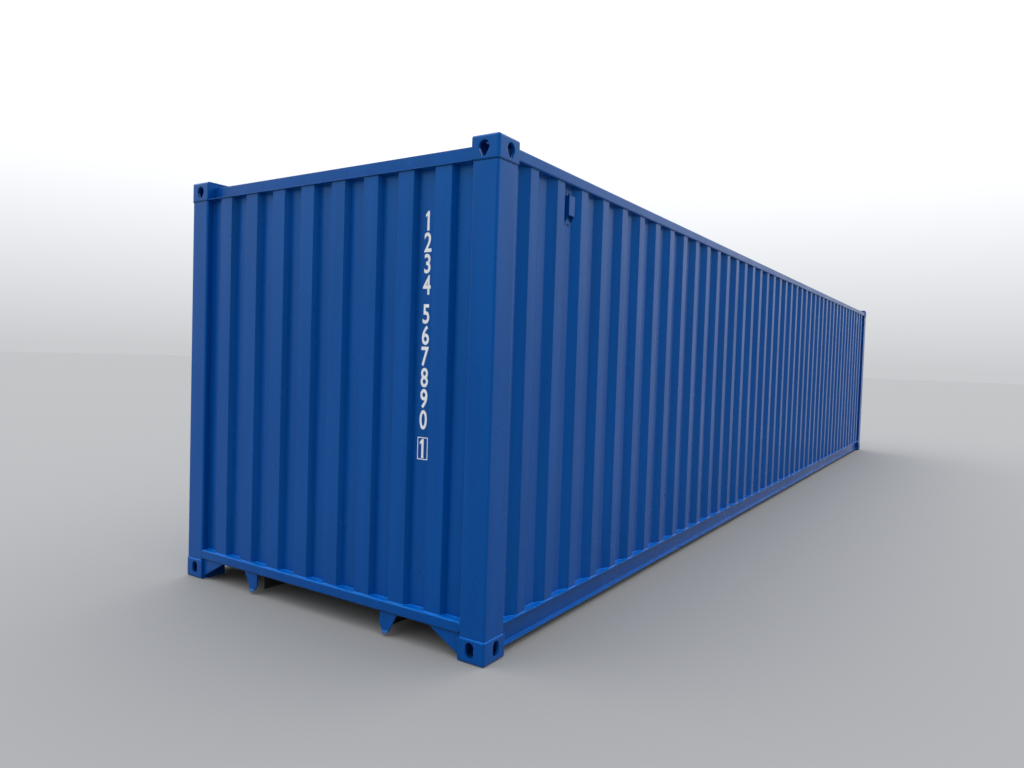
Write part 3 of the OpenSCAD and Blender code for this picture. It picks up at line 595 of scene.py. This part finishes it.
corner_beads = []
for end, direction in ENDS:
    for name, side in SIDES:
        post = f"{end}_post_{name}"
        foot, head = (ledge_line(post, direction, side, corner.z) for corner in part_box(post))
        corner_beads += [(foot, LEDGE_DEEP, LEDGE_TALL, UP), (head, LEDGE_DEEP, HANGING_TALL, UP)]
print("Beads round the posts:", len(corner_beads))

# %% [markdown]
# ## Rails, sill and tongues
# The rails meet the castings in short seams. The front sill leaves a small notch at each end, which a
# wider bead closes, and the gussets and tongues below it are each welded on along their top.

# %% Corner welds
NOTCH = 0.006
TOP_WELD_INSET = 0.010

for name, side in SIDES:
    low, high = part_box("top_rail_" + name)
    y_out = low.y if side < 0 else high.y
    corner_beads += [seam((x, y_out, low.z), (x, y_out, high.z - SEAM), ALONG_X) for x in (low.x, high.x)]
    low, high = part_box("bottom_rail_" + name)
    corner_beads += [seam((x, low.y, high.z), (x, high.y, high.z), UP) for x in (low.x, high.x)]
low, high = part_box("front_sill")
for y in (low.y, high.y):
    notch_line = [(low.x + SEAM, y, low.z + NOTCH), (low.x + SEAM, y, high.z - NOTCH)]
    corner_beads.append((notch_line, NOTCH, SEAM, ALONG_X))
for name in ("sill_gussets", "tunnel_lead_plates"):
    for low, high in solids_of(name):
        x = high.x - TOP_WELD_INSET
        corner_beads.append(seam((x, low.y, high.z), (x, high.y, high.z), UP))
print("Corner welds with", weld("weld_corners", corner_beads), "faces")

# %% [markdown]
# ## Plain digits
# High on the front wall such a box carries its number. A digit comes from a filled text curve, which is
# turned to a mesh and squeezed to the narrow width that fits between two ribs. The font's 1 is a bare
# bar, so that one is drawn from listed points, in millimetres.

# %% Digit shapes
DIGIT_WIDE = 0.049
DIGIT_TALL = 0.101
THICKEN = 0.018
CURVE_STEPS = 6
ONE_MM = ((-7, -101), (7, -101), (7, 0), (-3, 0), (-18, -17), (-18, -31), (-7, -23))
MM_PER_M = 1000


def font_mesh(sign):
    """A digit's flat mesh, in the font's own units, as points and faces."""
    curve = bpy.data.curves.new("digit", "FONT")
    curve.body, curve.offset, curve.resolution_u = sign, THICKEN, CURVE_STEPS
    shape = bpy.data.objects.new("digit", curve)
    mesh = bpy.data.meshes.new_from_object(shape)
    points, faces = [v.co.xy for v in mesh.vertices], [tuple(p.vertices) for p in mesh.polygons]
    for data, group in ((shape, bpy.data.objects), (curve, bpy.data.curves), (mesh, bpy.data.meshes)):
        group.remove(data)
    return points, faces


def extent(points):
    return Vector(map(min, zip(*points))), Vector(map(max, zip(*points)))


def digit_mesh(sign, widest):
    """A digit in metres, about the middle of its top, squeezed as much as the font's widest is."""
    if sign == "1":
        return [Vector(p) / MM_PER_M for p in ONE_MM], [tuple(range(len(ONE_MM)))]
    points, faces = font_mesh(sign)
    low, high = extent(points)
    middle = (low.x + high.x) / 2
    across, down = DIGIT_WIDE / widest, DIGIT_TALL / (high.y - low.y)
    return [Vector(((p.x - middle) * across, (p.y - high.y) * down)) for p in points], faces


zero_low, zero_high = extent(font_mesh("0")[0])
font_width = zero_high.x - zero_low.x
print("The font's digits are", round(font_width, 3), "wide")

# %% [markdown]
# ## The row
# The signs stand one under the other, in groups, with a boxed digit at the foot. Here they are a plain
# count. The row lies on the recess between two ribs, a film's thickness in front of the paint.

# %% Row of digits
ROW_GROUPS = ("1234", "567890", "1")
ROW_TOP = 2.261
ROW_PITCH = 0.110
GROUP_GAP = 0.040
ROW_Y = -0.755
FRAME_WIDE = 0.069
FRAME_TALL = 0.117
FRAME_LINE = 0.0045
FRAME_CORNERS = ((-1, -1), (1, -1), (1, 1), (-1, 1))
FILM_LIFT = 0.0004

film_x = max(p.x for p in front_line) - FILM_LIFT
verts, faces = [], []
top = ROW_TOP
for group in ROW_GROUPS:
    for sign in group:
        points, polygons = digit_mesh(sign, font_width)
        base = len(verts)
        verts += [(film_x, ROW_Y - p.x, top + p.y) for p in points]
        faces += [tuple(base + i for i in polygon) for polygon in polygons]
        top -= ROW_PITCH
    top -= GROUP_GAP
middle_z = top + GROUP_GAP + ROW_PITCH - DIGIT_TALL / 2
base = len(verts)
for inset in (0.0, FRAME_LINE):
    wide, tall = FRAME_WIDE / 2 - inset, FRAME_TALL / 2 - inset
    verts += [(film_x, ROW_Y - y * wide, middle_z + z * tall) for y, z in FRAME_CORNERS]
count = len(FRAME_CORNERS)
pairs = [(base + i, base + (i + 1) % count) for i in range(count)]
faces += [(i, j, j + count, i + count) for i, j in pairs]
print("Digit row with", len(faces), "faces, down to", round(middle_z - FRAME_TALL / 2, 3), "m")

# %% [markdown]
# ## White film
# The digits are cut from a thin white film. It is smooth, slightly worn, and a little duller where it is.

# %% White film
WHITE = (0.88, 0.90, 0.91)
FILM_TONES = [(0.3, toned(WHITE, 0.88)), (0.6, WHITE)]
FILM_ROUGHNESS = (0.3, 0.55)
WEAR_PER_M = 45.0


def film_finish():
    material, shader = new_material("white_film", IOR=1.5)
    wear = noise_of(material, WEAR_PER_M, detail=8.0, stretch=(1, 1, 0.4))
    shade(material, shader, wear, FILM_TONES, FILM_ROUGHNESS)
    return material


add_mesh("digit_row", verts, faces, film_finish(), smooth=False)
print("Film", WHITE)

# %% [markdown]
# ## Bolts and rivets
# The brackets of the lock rods, the hinge blades and the ventilators are held by small fasteners. One
# domed head serves them all, as a lathe would turn it: a short cylinder with a round edge. Its profile
# gives shares of the radius and of the height.

# %% Domed heads
HEAD_SIDES = 16
HEAD_PROFILE = ((1.0, 0.0), (1.0, 0.45), (0.86, 0.8), (0.5, 1.0))
BOLT = (0.0085, 0.006)
RIVET = (0.0065, 0.0032)


def domed_heads(name, places, size, material):
    """Heads that stand on their places, each (point, direction), of a radius and a height."""
    verts, faces = [], []
    radius, height = size
    turns = [math.tau * i / HEAD_SIDES for i in range(HEAD_SIDES)]
    for point, direction in places:
        turn = direction.to_track_quat("Z", "Y")
        first = len(verts)
        for share, rise in HEAD_PROFILE:
            wide, tall = share * radius, rise * height
            ring = [Vector((wide * math.cos(a), wide * math.sin(a), tall)) for a in turns]
            verts += [point + turn @ p for p in ring]
        for base in range(first, len(verts) - HEAD_SIDES, HEAD_SIDES):
            pairs = [(base + i, base + (i + 1) % HEAD_SIDES) for i in range(HEAD_SIDES)]
            faces += [(i, j, j + HEAD_SIDES, i + HEAD_SIDES) for i, j in pairs]
        faces.append(tuple(range(len(verts) - HEAD_SIDES, len(verts))))
        faces.append(tuple(reversed(range(first, first + HEAD_SIDES))))
    add_mesh(name, verts, faces, material)
    return len(places)


# %% [markdown]
# ## Where the heads sit
# A bracket has a bolt near each corner of its flange, a hinge blade has four, and a ventilator has a
# rivet in its tab at each end. Each place is measured in from the edges of the solid that it holds.

# %% Heads on the doors and ventilators
BRACKET_FACE = 0.041
BRACKET_INSET = Vector((0, 0.016, 0.011))
BLADE_FACE = 0.006
BLADE_STEPS = (0.016, 0.046)
BLADE_RISE = 0.017
TAB_FACE = 0.002
LOWER_TAB, UPPER_TAB = 0.0085, 0.012

bracket_heads, hinge_heads, vent_heads = [], [], []
for low, high in solids_of("rod_brackets"):
    low, high = low + BRACKET_INSET, high - BRACKET_INSET
    face = high.x - BRACKET_FACE
    bracket_heads += [(Vector((face, y, z)), ALONG_X) for y in (low.y, high.y) for z in (low.z, high.z)]
for name, side in SIDES:
    for low, high in solids_of("hinges_" + name):
        face, middle = low.x + BLADE_FACE, (low.z + high.z) / 2
        free_edge = high.y if side < 0 else low.y
        hinge_heads += [(Vector((face, free_edge + side * step, z)), ALONG_X)
                        for step in BLADE_STEPS for z in (middle - BLADE_RISE, middle + BLADE_RISE)]
for low, high in solids_of("ventilators"):
    side = math.copysign(1, low.y)
    face = side * (min(abs(low.y), abs(high.y)) + TAB_FACE)
    vent_heads += [(Vector(((low.x + high.x) / 2, face, z)), side * ALONG_Y)
                   for z in (low.z + LOWER_TAB, high.z - UPPER_TAB)]
# The vents' rivets take the same near-black coat, partly painted shade.
print("Heads:", domed_heads("bracket_bolts", bracket_heads, BOLT, zinc), "on brackets,",
      domed_heads("hinge_bolts", hinge_heads, BOLT, blue_paint), "on hinges,",
      domed_heads("vent_rivets", vent_heads, RIVET, bitumen_and_painted_shade), "on vents")

# %% [markdown]
# ## The floor
# A plain, pale, dull floor, wide enough that its edge lies at the horizon. It isn't part of the box.

# %% Floor
HALF_FLOOR = 120.0
PALE = (0.28, 0.28, 0.28)

floor_mesh = bpy.data.meshes.new("floor")
floor_corners = [(x * HALF_FLOOR, y * HALF_FLOOR, 0) for x, y in ((-1, -1), (1, -1), (1, 1), (-1, 1))]
floor_mesh.from_pydata(floor_corners, [], [(0, 1, 2, 3)])
floor_mesh.materials.append(new_material("floor", Base_Color=(*PALE, 1), Roughness=0.9)[0])
floor = bpy.data.objects.new("floor", floor_mesh)
bpy.context.scene.collection.objects.link(floor)
print("Floor", 2 * HALF_FLOOR, "m wide")

# %% [markdown]
# ## The sky
# The light is as soft as an overcast noon, and nearly all of it comes from the world. It is brighter
# overhead than at the horizon, because that makes upward faces light and hollows dark. It is dimmer
# behind the camera, as no sky is even all round: the slopes of the ribs that face that way turn a deeper
# blue than the flats beside them, and the corrugation reads. A sun lamp would do that too, but with hard
# shadows that an overcast day doesn't have.

# %% Sky
SKY_LOW = 0.62
SKY_HIGH = 2.65
DIM_TOWARDS = (-0.6, -0.8, 0.0)
DIM = 0.45
SKY_COLOUR = (0.95, 0.97, 1.0, 1)

world = bpy.data.worlds.new("soft_sky")
bpy.context.scene.world = world
world.use_nodes = True
background = world.node_tree.nodes["Background"]
background.inputs["Color"].default_value = SKY_COLOUR
sky_direction = add_node(world, "ShaderNodeTexCoord")
height = add_node(world, "ShaderNodeSeparateXYZ")
wire(world, sky_direction, height.inputs["Vector"], "Generated")
by_height = add_node(world, "ShaderNodeMapRange", To_Min=SKY_LOW, To_Max=SKY_HIGH)
wire(world, height, by_height.inputs["Value"], "Z")
behind = add_node(world, "ShaderNodeVectorMath", operation="DOT_PRODUCT")
behind.inputs[1].default_value = DIM_TOWARDS
wire(world, sky_direction, behind.inputs[0], "Generated")
dimming = add_node(world, "ShaderNodeMapRange", To_Min=1.0, To_Max=DIM)
wire(world, behind, dimming.inputs["Value"], "Value")
sky_strength = add_node(world, "ShaderNodeMath", operation="MULTIPLY")
wire(world, by_height, sky_strength.inputs[0])
wire(world, dimming, sky_strength.inputs[1])
wire(world, sky_strength, background.inputs["Strength"])
print("Sky from", SKY_LOW, "at the horizon to", SKY_HIGH, "overhead")

# %% [markdown]
# ## A lamp to mirror
# A large, weak area lamp high on the camera's side gives the paint something to mirror. It is so wide
# that no shadow of it can be told from the sky's.

# %% Lamp
KEY_AT = Vector((-16, -14, 11))
KEY_AIM = Vector((-3, 0, 1))
KEY_SIZE = 12
KEY_POWER = 130

key = bpy.data.objects.new("key", bpy.data.lights.new("key", "AREA"))
key.data.size = KEY_SIZE
key.data.energy = KEY_POWER
key.location = KEY_AT
key.rotation_euler = (KEY_AIM - KEY_AT).to_track_quat("-Z", "Y").to_euler()
bpy.context.scene.collection.objects.link(key)
print("Lamp", KEY_POWER, "W,", KEY_SIZE, "m wide")

# %% [markdown]
# ## Finish
# Standard view transform, so a colour renders about as it is written.

# %% Finish
bpy.context.scene.view_settings.view_transform = "Standard"
